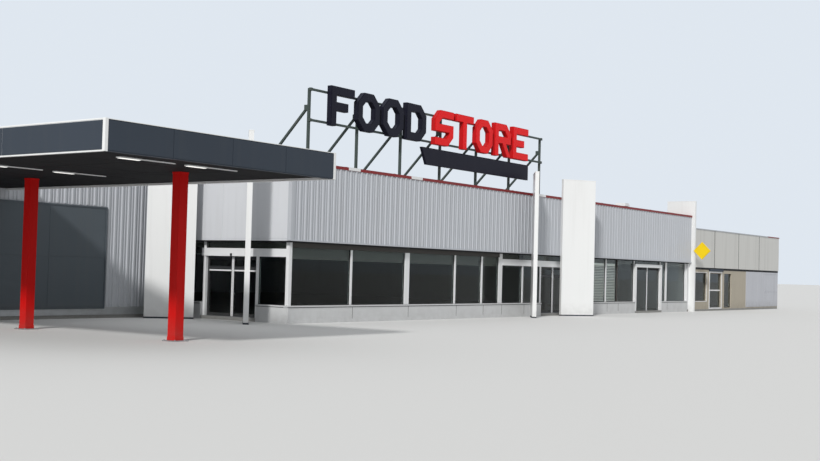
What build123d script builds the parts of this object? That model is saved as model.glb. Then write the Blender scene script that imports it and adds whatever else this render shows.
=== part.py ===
"""Single-storey supermarket with a ribbed cladding band, two sliding doors, a drive canopy and a roof sign.

A half-size model: every length here is half of the real one, in millimetres.
X runs along the main front to the right, Y goes into the building and Z is up.
Places on plan are measured from the front corner, where the main front meets the entrance front.
"""

from build123d import *

import os
from math import cos, radians, sqrt

os.makedirs("parts", exist_ok=True)

# Plan of the building
front_length = 18000
hall_depth = 16500
wing_length = 9600
wing_setback = 3000
annex_length = 7910
annex_depth = 9000

# Walls, floor and roof
wall = 110
floor_top = 60
band_bottom = 1460
band_top = 2820
roof_thickness = 120
parapet_height = 250
coping_height = 55
coping_overhang = 20

# Shopfront under the cladding band
low_wall_setback = 60
low_wall_thickness = 110
low_wall_top = 315
cap_thickness = 25
cap_nose = 15
frame_setback = 110
frame_depth = 60
post_width = 50
pier_width = 150
side_post_width = 110
corner_post = 75
head_rail_height = 60
head_rail_lap = 40
glass_thickness = 12
glass_front = 24

# Doors
door_top = 1170
header_height = 145
header_nose = 15
jamb_width = 60
door_play = 6
leaf_thickness = 25
leaf_stile = 35
leaf_rail = 45
leaf_midrail_height = 930
entrance_door_centre = 1535
entrance_door_half = 640
entrance_header_end = 2275
front_door_centre = 9790
front_door_half = 685
track_height = 22
track_depth = 20
track_rise = 24
hook_thickness = 6
hook_length = 70
hook_gap = 0.3

# Places of the shopfront's posts, up to the door from the front corner and after it from the right end
thin_posts = (1870, 5400, 6470)
piers = (3660, 7250)
header_post = 8245
thin_posts_to_end = (5440, 4780)
side_post_to_end = 1560
portal_to_end = 3740
portal_width = 1785
portal_top = 1350
portal_frame_width = 90
portal_nose = 50

# Blades beside the entrances
blade_width = 890
blade_thickness = 90
blade_height = 3310
entrance_blades_centre = 1460
entrance_blades_half_gap = 657
entrance_blades_standoff = 220
entrance_blades_turn = 44
front_blades_centre = 9100
front_blades_half_gap = 677
front_blades_play = 0.3
front_blades_turn = 33
end_blade_nose = 110

# Drive canopy on posts
canopy_reach = 3960
canopy_inset = 2250
canopy_length = 3700
canopy_bottom = 2140
canopy_fascia_height = 340
canopy_fascia_thickness = 60
canopy_panel_thickness = 30
canopy_deck_rise = 40
canopy_deck_thickness = 200
canopy_post = 140
canopy_post_edge = 1250
canopy_post_rows = (-2450, 630)

# Board on the drive wall
board_left = -5200
board_right = -1590
board_bottom = 180
board_top = 1965
board_thickness = 30

# Annex
annex_band_bottom = 1335
annex_top = 2490
annex_coping_height = 30
annex_coping_overhang = 15
annex_parapet_height = 130
annex_wall_setback = 30
annex_openings = ((310, 1240, 315, 1170), (1510, 2470, 90, 1170), (2740, 3380, 90, 1170))
annex_glass_setback = 50
notch_play = 10

# Diamond sign at the end blade
diamond_half = 260
diamond_thickness = 45
diamond_lap = 15
diamond_height = 1823
diamond_arm_length = 190
diamond_arm_width = 60

# Roof sign
sign_setback = 275
sign_first_post = 735
sign_post_pitch = 1415
sign_post_count = 7
sign_post_width = 45
sign_top = 4262
sign_lower_rail = 3700
sign_rail_height = 40
sign_brace_top = 3950
sign_brace_run = 1380
sign_brace_width = 40
letter_depth = 100
letter_bottom = 3630
letter_height = 740
letter_width = 690
letter_gap = 100
letter_stroke = 160
letter_bevel = 200
dark_word_left = 1170
word_gap = 220
plate_left = 4150
plate_right = 8485
plate_bottom = 3190
plate_top = 3540
plate_slant = 180
plate_rail_inset = 300
plate_thickness = 60

# Roof lights
roof_light_size = 900
roof_light_height = 330
roof_light_columns = 5
roof_light_rows = 3
roof_light_pitch_x = 3200
roof_light_pitch_y = 4400

# The origin is the middle of the building's base
left_reach = wing_length + coping_overhang
annex_left = front_length + blade_thickness
annex_right = annex_left + annex_length
right_reach = annex_right + annex_coping_overhang
corner_x = (left_reach - right_reach) / 2
corner_y = (canopy_reach - hall_depth - coping_overhang) / 2

frame_back = frame_setback + frame_depth
head_rail_top = band_bottom + head_rail_lap
head_rail_bottom = head_rail_top - head_rail_height
cap_bottom = low_wall_top - cap_thickness
header_top = door_top + header_height
roof_top = band_top - parapet_height
roof_bottom = roof_top - roof_thickness
blade_end = blade_width - end_blade_nose + notch_play


def block(left, right, near, far, bottom, top, mode=Mode.ADD):
    """Upright block between two places along X, two along Y and two heights."""
    with BuildSketch(Plane((corner_x, corner_y, bottom))) as plan:
        with Locations(((left + right) / 2, (near + far) / 2)):
            Rectangle(right - left, far - near)
    extrude(plan.sketch, amount=top - bottom, mode=mode)


def front_plane(depth):
    """Plane parallel to the main front, so far behind it, looking out."""
    return Plane((corner_x, corner_y + depth, 0), x_dir=(1, 0, 0), z_dir=(0, -1, 0))


def side_plane(place):
    """Plane across the main front at a place along it, with Y to its right."""
    return Plane((corner_x + place, corner_y, 0), x_dir=(0, 1, 0), z_dir=(1, 0, 0))


def save(piece, label):
    """Name the piece and write its file."""
    piece.part.label = label
    export_step(piece.part, f"parts/{label}.step")


# Floors
with BuildPart() as hall_floor:
    block(low_wall_setback, front_length, low_wall_setback, hall_depth, 0, floor_top)
save(hall_floor, "hall_floor")

with BuildPart() as wing_floor:
    block(-wing_length, low_wall_setback, wing_setback, hall_depth, 0, floor_top)
save(wing_floor, "wing_floor")

with BuildPart() as annex_floor:
    block(front_length, annex_right, annex_wall_setback, annex_depth, 0, floor_top)
    block(front_length, annex_left, 0, blade_end, 0, floor_top, mode=Mode.SUBTRACT)
save(annex_floor, "annex_floor")

# Cladding bands and walls
with BuildPart() as front_band:
    block(0, front_length, 0, wall, band_bottom, band_top)
save(front_band, "front_band")

with BuildPart() as entrance_band:
    block(0, wall, wall, wing_setback, band_bottom, band_top)
save(entrance_band, "entrance_band")

with BuildPart() as drive_wall:
    block(-wing_length, wall, wing_setback, wing_setback + wall, floor_top, band_top)
    block(wall, frame_back, wing_setback, wing_setback + wall, floor_top, head_rail_top)
save(drive_wall, "drive_wall")

with BuildPart() as left_wall:
    block(-wing_length, wall - wing_length, wing_setback + wall, hall_depth - wall, floor_top, band_top)
save(left_wall, "left_wall")

with BuildPart() as rear_wall:
    block(-wing_length, front_length, hall_depth - wall, hall_depth, floor_top, band_top)
save(rear_wall, "rear_wall")

with BuildPart() as right_wall:
    block(front_length - wall, front_length, wall, hall_depth - wall, floor_top, band_top)
    block(front_length - wall, front_length, low_wall_setback, wall, floor_top, band_bottom)
save(right_wall, "right_wall")

# Roofs
with BuildPart() as hall_roof:
    block(wall, front_length - wall, wall, hall_depth - wall, roof_bottom, roof_top)
save(hall_roof, "hall_roof")

with BuildPart() as wing_roof:
    block(wall - wing_length, wall, wing_setback + wall, hall_depth - wall, roof_bottom, roof_top)
save(wing_roof, "wing_roof")

with BuildPart() as roof_lights:
    with BuildSketch(Plane((corner_x + front_length / 2, corner_y + hall_depth / 2, roof_top))):
        with GridLocations(roof_light_pitch_x, roof_light_pitch_y, roof_light_columns, roof_light_rows):
            Rectangle(roof_light_size, roof_light_size)
    extrude(amount=roof_light_height)
    chamfer(roof_lights.faces().group_by(Axis.Z)[-1].edges(), roof_light_height / 4)
save(roof_lights, "roof_lights")

# Copings: strips along X in one node, strips along Y in another
coping_top = band_top + coping_height
coping_back = wall + coping_overhang
drive_near = wing_setback - coping_overhang
drive_far = wing_setback + coping_back
rear_near = hall_depth - coping_back
rear_far = hall_depth + coping_overhang
rear_left = -wing_length - coping_overhang
with BuildPart() as long_copings:
    block(-coping_overhang, front_length, -coping_overhang, coping_back, band_top, coping_top)
    block(rear_left, -coping_overhang, drive_near, drive_far, band_top, coping_top)
    block(rear_left, front_length + coping_overhang, rear_near, rear_far, band_top, coping_top)
save(long_copings, "long_copings")

with BuildPart() as side_copings:
    block(-coping_overhang, coping_back, coping_back, drive_far, band_top, coping_top)
    block(rear_left, coping_back - wing_length, drive_far, rear_near, band_top, coping_top)
    block(front_length - coping_back, front_length, coping_back, rear_near, band_top, coping_top)
save(side_copings, "side_copings")

# Places along the two fronts where the shopfront changes
right_thin_posts = [front_length - distance for distance in thin_posts_to_end]
side_post = front_length - side_post_to_end
side_post_left = side_post - side_post_width / 2
side_post_right = side_post + side_post_width / 2
end_post_right = front_length - wall
end_post_left = end_post_right - corner_post
portal_left = front_length - portal_to_end
portal_right = portal_left + portal_width
low_wall_back = low_wall_setback + low_wall_thickness
cap_front = low_wall_setback - cap_nose
front_door_left = front_door_centre - front_door_half
front_door_right = front_door_centre + front_door_half
left_jamb = front_door_left - jamb_width
right_jamb = front_door_right + jamb_width
entrance_door_near = entrance_door_centre - entrance_door_half
entrance_door_far = entrance_door_centre + entrance_door_half
near_jamb = entrance_door_near - jamb_width
far_jamb = entrance_door_far + jamb_width
half_post = post_width / 2
half_pier = pier_width / 2
front_header_left = piers[1] + half_pier
front_header_post = header_post - half_post
pane_start = header_post + half_post
stub_left = portal_left + post_width
stub_right = portal_right - post_width
header_front = frame_setback - header_nose
corner_front = frame_back - corner_post
pane_front = frame_setback + glass_front
pane_back = pane_front + glass_thickness

# Low wall with its cap, broken at the doors and at the portal
with BuildPart() as front_low_wall:
    block(low_wall_setback, left_jamb, low_wall_setback, low_wall_back, floor_top, cap_bottom)
    block(cap_front, left_jamb, cap_front, low_wall_back, cap_bottom, low_wall_top)
    for left, right in ((right_jamb, portal_left), (portal_right, front_length - wall)):
        block(left, right, low_wall_setback, low_wall_back, floor_top, cap_bottom)
        block(left, right, cap_front, low_wall_back, cap_bottom, low_wall_top)
save(front_low_wall, "front_low_wall")

with BuildPart() as entrance_low_wall:
    for near, far in ((low_wall_back, near_jamb), (far_jamb, wing_setback)):
        block(low_wall_setback, low_wall_back, near, far, floor_top, cap_bottom)
        block(cap_front, low_wall_back, near, far, cap_bottom, low_wall_top)
save(entrance_low_wall, "entrance_low_wall")

# Beams of the shopfront: a head rail behind the cladding band and a header over the door
with BuildPart() as front_beams:
    block(frame_setback, front_length - wall, frame_setback, frame_back, head_rail_bottom, head_rail_top)
    block(front_header_left, front_door_right, header_front, frame_back, door_top, header_top)
save(front_beams, "front_beams")

with BuildPart() as entrance_beams:
    block(frame_setback, frame_back, frame_back, wing_setback, head_rail_bottom, head_rail_top)
    block(header_front, frame_back, frame_back, far_jamb, door_top, header_top)
    block(header_front, pane_front, far_jamb, entrance_header_end, door_top, header_top)
save(entrance_beams, "entrance_beams")

# Posts of the shopfront: at the corner, between the panes and beside the doors
with BuildPart() as shopfront_posts:
    block(corner_front, frame_back, corner_front, frame_back, low_wall_top, head_rail_bottom)
    for place in (*thin_posts, *right_thin_posts):
        block(place - half_post, place + half_post, frame_setback, frame_back, low_wall_top, head_rail_bottom)
    for place in piers:
        block(place - half_pier, place + half_pier, frame_setback, frame_back, low_wall_top, head_rail_bottom)
    for left, right in ((side_post_left, side_post_right), (end_post_left, end_post_right)):
        block(left, right, frame_setback, frame_back, low_wall_top, head_rail_bottom)
    block(front_header_post, pane_start, frame_setback, frame_back, low_wall_top, door_top)
    block(left_jamb, front_door_left, frame_setback, frame_back, floor_top, door_top)
    block(front_door_right, right_jamb, frame_setback, frame_back, floor_top, head_rail_bottom)
    block(frame_setback, frame_back, near_jamb, entrance_door_near, floor_top, door_top)
    block(frame_setback, frame_back, entrance_door_far, far_jamb, floor_top, door_top)
    block(frame_setback, frame_back, entrance_door_far, far_jamb, header_top, head_rail_bottom)
    block(portal_left, stub_left, frame_setback, frame_back, portal_top, head_rail_bottom)
    block(stub_right, portal_right, frame_setback, frame_back, portal_top, head_rail_bottom)
save(shopfront_posts, "shopfront_posts")

# Portal of the third bay: a white frame round fixed glass
portal_front = frame_setback - portal_nose
portal_inner_left = portal_left + portal_frame_width
portal_inner_right = portal_right - portal_frame_width
portal_inner_top = portal_top - portal_frame_width
with BuildPart() as portal_frame:
    block(portal_left, portal_inner_left, portal_front, frame_back, floor_top, portal_top)
    block(portal_inner_right, portal_right, portal_front, frame_back, floor_top, portal_top)
    block(portal_inner_left, portal_inner_right, portal_front, frame_back, portal_inner_top, portal_top)
save(portal_frame, "portal_frame")

# Glass of the two fronts, one pane between each two posts
full_panes = (
    (frame_back, thin_posts[0] - half_post),
    (thin_posts[0] + half_post, piers[0] - half_pier),
    (piers[0] + half_pier, thin_posts[1] - half_post),
    (thin_posts[1] + half_post, thin_posts[2] - half_post),
    (thin_posts[2] + half_post, piers[1] - half_pier),
    (right_jamb, right_thin_posts[0] - half_post),
    (right_thin_posts[0] + half_post, right_thin_posts[1] - half_post),
    (right_thin_posts[1] + half_post, portal_left),
    (portal_right, side_post_left),
    (side_post_right, end_post_left),
)
with BuildPart() as shop_glass:
    for left, right in full_panes:
        block(left, right, pane_front, pane_back, low_wall_top, head_rail_bottom)
    block(front_header_left, front_header_post, pane_front, pane_back, low_wall_top, door_top)
    block(pane_start, left_jamb, pane_front, pane_back, low_wall_top, door_top)
    block(front_header_left, front_door_right, pane_front, pane_back, header_top, head_rail_bottom)
    block(portal_inner_left, portal_inner_right, pane_front, pane_back, floor_top, portal_inner_top)
    block(stub_left, stub_right, pane_front, pane_back, portal_top, head_rail_bottom)
    block(pane_front, pane_back, frame_back, near_jamb, low_wall_top, door_top)
    block(pane_front, pane_back, frame_back, entrance_door_far, header_top, head_rail_bottom)
    block(pane_front, pane_back, far_jamb, wing_setback, low_wall_top, head_rail_bottom)
save(shop_glass, "shop_glass")

# Sliding doors: each leaf hangs by two hooks on a track behind the header
track_front = frame_back
track_back = track_front + track_depth
track_bottom = door_top + track_rise
track_top = track_bottom + track_height
leaf_front = frame_back + door_play
leaf_back = leaf_front + leaf_thickness
leaf_bottom = floor_top + door_play
leaf_top = door_top - door_play
meeting_gap = door_play / 2
hook_front = leaf_back - hook_thickness
hook_top = track_top + hook_gap + hook_thickness
glass_near = leaf_front + (leaf_thickness - glass_thickness) / 2
glass_far = glass_near + glass_thickness
leaf_lights = (
    (leaf_bottom + leaf_rail, leaf_midrail_height),
    (leaf_midrail_height + leaf_rail, leaf_top - leaf_rail),
)
front_track_left = front_door_centre - 2 * front_door_half
front_track_right = front_door_centre + 2 * front_door_half
entrance_track_near = low_wall_back + door_play
entrance_track_far = entrance_door_centre + 2 * entrance_door_half

with BuildPart() as door_tracks:
    block(front_track_left, front_track_right, track_front, track_back, track_bottom, track_top)
    block(track_front, track_back, entrance_track_near, entrance_track_far, track_bottom, track_top)
save(door_tracks, "door_tracks")


def front_leaf(left, right):
    """Frame of a sliding leaf in the main front, with its hooks over the track."""
    block(left, right, leaf_front, leaf_back, leaf_bottom, leaf_top)
    for bottom, top in leaf_lights:
        block(left + leaf_stile, right - leaf_stile, leaf_front, leaf_back, bottom, top, mode=Mode.SUBTRACT)
    for start in (left + leaf_stile, right - leaf_stile - hook_length):
        block(start, start + hook_length, hook_front, leaf_back, leaf_top, hook_top)
        block(start, start + hook_length, leaf_front, leaf_back, track_top + hook_gap, hook_top)


def front_leaf_glass(left, right):
    """Two panes of a sliding leaf in the main front."""
    for bottom, top in leaf_lights:
        block(left + leaf_stile, right - leaf_stile, glass_near, glass_far, bottom, top)


def entrance_leaf(near, far):
    """Frame of a sliding leaf in the entrance front, with its hooks over the track."""
    block(leaf_front, leaf_back, near, far, leaf_bottom, leaf_top)
    for bottom, top in leaf_lights:
        block(leaf_front, leaf_back, near + leaf_stile, far - leaf_stile, bottom, top, mode=Mode.SUBTRACT)
    for start in (near + leaf_stile, far - leaf_stile - hook_length):
        block(hook_front, leaf_back, start, start + hook_length, leaf_top, hook_top)
        block(leaf_front, leaf_back, start, start + hook_length, track_top + hook_gap, hook_top)


def entrance_leaf_glass(near, far):
    """Two panes of a sliding leaf in the entrance front."""
    for bottom, top in leaf_lights:
        block(glass_near, glass_far, near + leaf_stile, far - leaf_stile, bottom, top)


for label, left, right in (
    ("front_door_left", front_door_left, front_door_centre - meeting_gap),
    ("front_door_right", front_door_centre + meeting_gap, front_door_right),
):
    with BuildPart() as leaf:
        front_leaf(left, right)
    save(leaf, label)
    with BuildPart() as leaf_glass:
        front_leaf_glass(left, right)
    save(leaf_glass, f"{label}_glass")

for label, near, far in (
    ("entrance_door_right", entrance_door_near, entrance_door_centre - meeting_gap),
    ("entrance_door_left", entrance_door_centre + meeting_gap, entrance_door_far),
):
    with BuildPart() as leaf:
        entrance_leaf(near, far)
    save(leaf, label)
    with BuildPart() as leaf_glass:
        entrance_leaf_glass(near, far)
    save(leaf_glass, f"{label}_glass")


# Tall white blades
def blade(x, y, turn):
    """Upright blade from its inner end at a place on plan, turned from the X direction."""
    with BuildSketch(Plane((corner_x + x, corner_y + y, 0))) as plan:
        with Locations(Location((0, 0, 0), (0, 0, turn))):
            Rectangle(blade_width, blade_thickness, align=(Align.MIN, Align.CENTER))
    extrude(plan.sketch, amount=blade_height)


with BuildPart() as entrance_blades:
    for side in (-1, 1):
        inner_end = entrance_blades_centre + side * entrance_blades_half_gap
        blade(-entrance_blades_standoff, inner_end, 180 - side * entrance_blades_turn)
save(entrance_blades, "entrance_blades")

# The front pair leans its inner corners against the coping, and the end blade closes the front
blade_corner = blade_thickness / 2 * cos(radians(front_blades_turn))
front_blades_standoff = coping_overhang + front_blades_play + blade_corner
with BuildPart() as front_blades:
    left_end = front_blades_centre - front_blades_half_gap
    right_end = front_blades_centre + front_blades_half_gap
    blade(left_end, -front_blades_standoff, 180 + front_blades_turn)
    blade(right_end, -front_blades_standoff, -front_blades_turn)
    blade(front_length + blade_thickness / 2, -end_blade_nose, 90)
save(front_blades, "front_blades")

# Drive canopy
canopy_left = canopy_inset - wing_length
canopy_right = canopy_left + canopy_length
canopy_top = canopy_bottom + canopy_fascia_height
deck_bottom = canopy_bottom + canopy_deck_rise
deck_top = deck_bottom + canopy_deck_thickness
fascia_back = canopy_fascia_thickness - canopy_reach
end_panel_left = canopy_left - canopy_panel_thickness
end_panel_right = canopy_right + canopy_panel_thickness
with BuildPart() as canopy_deck:
    block(canopy_left, canopy_right, fascia_back, wing_setback, deck_bottom, deck_top)
save(canopy_deck, "canopy_deck")

with BuildPart() as canopy_fascia:
    block(canopy_left, canopy_right, -canopy_reach, fascia_back, canopy_bottom, canopy_top)
save(canopy_fascia, "canopy_fascia")

with BuildPart() as canopy_end_panels:
    block(end_panel_left, canopy_left, -canopy_reach, wing_setback, canopy_bottom, canopy_top)
    block(canopy_right, end_panel_right, -canopy_reach, wing_setback, canopy_bottom, canopy_top)
save(canopy_end_panels, "canopy_end_panels")

post_left = canopy_right - canopy_post_edge - canopy_post / 2
with BuildPart() as canopy_posts:
    for y in canopy_post_rows:
        near = y - canopy_post / 2
        block(post_left, post_left + canopy_post, near, near + canopy_post, 0, deck_bottom)
save(canopy_posts, "canopy_posts")

# Board on the drive wall
with BuildPart() as drive_board:
    block(board_left, board_right, wing_setback - board_thickness, wing_setback, board_bottom, board_top)
save(drive_board, "drive_board")

# Annex
annex_wall_back = annex_wall_setback + wall
annex_pane_front = annex_wall_setback + annex_glass_setback
annex_pane_back = annex_pane_front + glass_thickness
annex_rear = annex_depth - wall
annex_end = annex_right - wall
annex_roof_top = annex_top - annex_parapet_height
annex_roof_bottom = annex_roof_top - roof_thickness
annex_coping_top = annex_top + annex_coping_height
annex_coping_back = wall + annex_coping_overhang
annex_coping_far = annex_depth + annex_coping_overhang
rear_strip_near = annex_depth - annex_coping_back
end_strip_left = annex_right - annex_coping_back
openings_on_plan = [
    (annex_left + left, annex_left + right, bottom, top) for left, right, bottom, top in annex_openings
]
with BuildPart() as annex_band:
    block(annex_left, annex_right, 0, wall, annex_band_bottom, annex_top)
save(annex_band, "annex_band")

with BuildPart() as annex_front_wall:
    block(annex_left, annex_right, annex_wall_setback, annex_wall_back, floor_top, annex_band_bottom)
    for left, right, bottom, top in openings_on_plan:
        block(left, right, annex_wall_setback, annex_wall_back, bottom, top, mode=Mode.SUBTRACT)
save(annex_front_wall, "annex_front_wall")

with BuildPart() as annex_glass:
    for left, right, bottom, top in openings_on_plan:
        block(left, right, annex_pane_front, annex_pane_back, bottom, top)
save(annex_glass, "annex_glass")

with BuildPart() as annex_end_wall:
    block(annex_end, annex_right, annex_wall_back, annex_rear, floor_top, annex_top)
    block(annex_end, annex_right, wall, annex_wall_back, annex_band_bottom, annex_top)
save(annex_end_wall, "annex_end_wall")

with BuildPart() as annex_rear_wall:
    block(front_length, annex_right, annex_rear, annex_depth, floor_top, annex_top)
save(annex_rear_wall, "annex_rear_wall")

with BuildPart() as annex_roof:
    block(front_length, annex_end, wall, annex_rear, annex_roof_bottom, annex_roof_top)
    block(front_length, annex_left, 0, blade_end, annex_roof_bottom, annex_roof_top, mode=Mode.SUBTRACT)
save(annex_roof, "annex_roof")

with BuildPart() as annex_coping:
    block(annex_left, right_reach, -annex_coping_overhang, annex_coping_back, annex_top, annex_coping_top)
    block(annex_left, right_reach, rear_strip_near, annex_coping_far, annex_top, annex_coping_top)
    block(end_strip_left, right_reach, -annex_coping_overhang, annex_coping_far, annex_top, annex_coping_top)
save(annex_coping, "annex_coping")

# Diamond sign: a square plate on its corner beside the end blade, held by an arm from the blade's front edge
diamond_centre = diamond_lap - end_blade_nose - diamond_half
arm_right = front_length + diamond_arm_width
arm_near = -end_blade_nose - diamond_arm_length
arm_bottom = diamond_height - diamond_arm_width / 2
arm_top = diamond_height + diamond_arm_width / 2
with BuildPart() as diamond_sign:
    with BuildSketch(side_plane(front_length)):
        with Locations(Location((diamond_centre, diamond_height, 0), (0, 0, 45))):
            Rectangle(diamond_half * sqrt(2), diamond_half * sqrt(2))
    extrude(amount=-diamond_thickness)
    block(front_length, arm_right, arm_near, -end_blade_nose, arm_bottom, arm_top)
save(diamond_sign, "diamond_sign")

# Roof sign: posts, rails and braces of steel, plain block letters and a bare plate
post_front = sign_setback
post_back = sign_setback + sign_post_width
rail_front = post_front - sign_rail_height
brace_foot = post_back + sign_brace_run
brace_drop = sign_brace_width * sqrt(2)
sign_posts_at = [sign_first_post + number * sign_post_pitch for number in range(sign_post_count)]
rail_left = sign_posts_at[0] - sign_post_width / 2
rail_right = sign_posts_at[-1] + sign_post_width / 2
plate_rail_left = plate_left + plate_rail_inset
plate_rail_right = plate_right - plate_rail_inset
plate_rail_top = (plate_bottom + plate_top + sign_rail_height) / 2
with BuildPart() as sign_posts:
    for place in sign_posts_at:
        left = place - sign_post_width / 2
        block(left, left + sign_post_width, post_front, post_back, roof_top, sign_top)
save(sign_posts, "sign_posts")

with BuildPart() as sign_braces:
    for place in sign_posts_at:
        with BuildSketch(side_plane(place - sign_brace_width / 2)):
            with BuildLine():
                Polyline(
                    (post_back, sign_brace_top),
                    (brace_foot, roof_top),
                    (brace_foot - brace_drop, roof_top),
                    (post_back, sign_brace_top - brace_drop),
                    close=True,
                )
            make_face()
        extrude(amount=sign_brace_width)
save(sign_braces, "sign_braces")

with BuildPart() as sign_rails:
    for top in (sign_top, sign_lower_rail):
        block(rail_left, rail_right, rail_front, post_front, top - sign_rail_height, top)
    block(plate_rail_left, plate_rail_right, rail_front, post_front, plate_rail_top - sign_rail_height, plate_rail_top)
save(sign_rails, "sign_rails")


def bar(left, right, bottom, top):
    """Straight stroke of a letter, in the sketch of its face."""
    with Locations(((left + right) / 2, (bottom + top) / 2)):
        Rectangle(right - left, top - bottom)


def corner_triangle(x, y, x_reach, y_reach, mode):
    """Triangle in a corner, with a leg along each of the two directions."""
    Polygon((x, y), (x + x_reach, y), (x, y + y_reach), align=None, mode=mode)


def bevel_corner(x, y, x_way, y_way):
    """Cut an outer corner of a letter off, and fill the corner inside it so that the stroke stays even."""
    corner_triangle(x, y, x_way * letter_bevel, y_way * letter_bevel, Mode.SUBTRACT)
    inner_x = x + x_way * letter_stroke
    inner_y = y + y_way * letter_stroke
    fill = letter_bevel - (2 - sqrt(2)) * letter_stroke
    corner_triangle(inner_x, inner_y, x_way * fill, y_way * fill, Mode.ADD)


def letter(shape, left):
    """Plain block letter in the sketch of its face, from bars of one stroke."""
    right = left + letter_width
    bottom = letter_bottom
    top = bottom + letter_height
    middle = (bottom + top) / 2
    inner_left = left + letter_stroke
    inner_right = right - letter_stroke
    centre = (left + right) / 2
    half_stroke = letter_stroke / 2
    left_bar = (left, inner_left, bottom, top)
    right_bar = (inner_right, right, bottom, top)
    low_bar = (left, right, bottom, bottom + letter_stroke)
    mid_bar = (left, right, middle - half_stroke, middle + half_stroke)
    top_bar = (left, right, top - letter_stroke, top)
    short_bar = (left, centre + letter_stroke, middle - half_stroke, middle + half_stroke)
    centre_bar = (centre - half_stroke, centre + half_stroke, bottom, top)
    upper_left = (left, inner_left, middle, top)
    upper_right = (inner_right, right, middle, top)
    lower_right = (inner_right, right, bottom, middle)
    strokes = {
        "F": (left_bar, top_bar, short_bar),
        "O": (left_bar, right_bar, top_bar, low_bar),
        "D": (left_bar, right_bar, top_bar, low_bar),
        "S": (low_bar, mid_bar, top_bar, upper_left, lower_right),
        "T": (top_bar, centre_bar),
        "R": (left_bar, top_bar, mid_bar, upper_right),
        "E": (left_bar, low_bar, short_bar, top_bar),
    }
    beveled_corners = {
        "F": (),
        "O": ((left, bottom, 1, 1), (left, top, 1, -1), (right, bottom, -1, 1), (right, top, -1, -1)),
        "D": ((right, bottom, -1, 1), (right, top, -1, -1)),
        "S": ((left, top, 1, -1), (right, bottom, -1, 1)),
        "T": (),
        "R": ((right, top, -1, -1),),
        "E": (),
    }
    for stroke in strokes[shape]:
        bar(*stroke)
    for corner in beveled_corners[shape]:
        bevel_corner(*corner)
    if shape == "R":
        leg_top = (centre - half_stroke, middle), (centre + half_stroke, middle)
        Polygon(*leg_top, (right, bottom), (inner_right, bottom), align=None)


def word(letters, left):
    """Letters side by side in the sketch of their faces."""
    for number, shape in enumerate(letters):
        letter(shape, left + number * (letter_width + letter_gap))


dark_word = "FOOD"
red_word = "STORE"
red_word_left = dark_word_left + len(dark_word) * (letter_width + letter_gap) + word_gap
for label, letters, left in (
    ("dark_letters", dark_word, dark_word_left),
    ("red_letters", red_word, red_word_left),
):
    with BuildPart() as sign_word:
        with BuildSketch(front_plane(rail_front)):
            word(letters, left)
        extrude(amount=letter_depth)
    save(sign_word, label)

with BuildPart() as sign_plate:
    with BuildSketch(front_plane(rail_front)):
        with BuildLine():
            Polyline(
                (plate_left, plate_top),
                (plate_left + plate_slant, plate_bottom),
                (plate_right, plate_bottom),
                (plate_right, plate_top),
                close=True,
            )
        make_face()
    extrude(amount=plate_thickness)
save(sign_plate, "sign_plate")
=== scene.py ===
# %% [markdown]
# A single-storey supermarket at half size, dressed around its construction model. The walls, frames,
# glass, doors, blades, canopy and sign already stand where they belong. They could be drawn again in
# Blender, but the exact ones are loaded and never moved, so that everything new can be measured from
# them. This lesson gives them their finish and adds what a builder would fix to them: ribs, straps,
# gaskets, trims and plates. Every length is in metres.

# %% Load the fixed frame
import math

import bmesh
import bpy
from mathutils import Matrix, Vector


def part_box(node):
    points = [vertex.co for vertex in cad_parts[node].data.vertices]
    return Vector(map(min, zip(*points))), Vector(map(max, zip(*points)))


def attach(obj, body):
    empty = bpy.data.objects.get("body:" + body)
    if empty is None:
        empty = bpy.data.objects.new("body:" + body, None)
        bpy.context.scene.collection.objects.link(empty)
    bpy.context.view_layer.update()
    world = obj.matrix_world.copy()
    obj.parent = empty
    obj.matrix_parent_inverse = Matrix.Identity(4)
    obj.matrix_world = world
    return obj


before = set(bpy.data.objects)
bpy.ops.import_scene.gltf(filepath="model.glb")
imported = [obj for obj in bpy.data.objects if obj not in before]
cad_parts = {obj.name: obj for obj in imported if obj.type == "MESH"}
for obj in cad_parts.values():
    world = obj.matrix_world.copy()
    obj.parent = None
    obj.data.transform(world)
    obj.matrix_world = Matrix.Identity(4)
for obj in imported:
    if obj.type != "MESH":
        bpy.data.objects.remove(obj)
scene = bpy.context.scene
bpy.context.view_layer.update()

# %% [markdown]
# The front corner, where the main front meets the entrance front, is the point that everything on plan is
# counted from. Places could be typed in as plain numbers, but a wall that changes would then leave its
# trims behind. So faces and heights are read from the walls, and a short helper counts places from that
# corner.

# %% The front corner and the main heights
band_low, band_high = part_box("front_band")
corner_x, corner_y, band_bottom = band_low
front_end, band_top = band_high.x, band_high.z
wing_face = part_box("drive_wall")[0].y
rear_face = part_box("rear_wall")[1].y
left_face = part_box("left_wall")[0].x
floor_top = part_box("hall_floor")[1].z
coping_low, coping_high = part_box("long_copings")


def on_plan(x, y, z):
    """Point from places counted from the front corner."""
    return Vector((corner_x + x, corner_y + y, z))


print("front", round(front_end - corner_x, 3), "long, band up to", round(band_top, 3))
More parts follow.
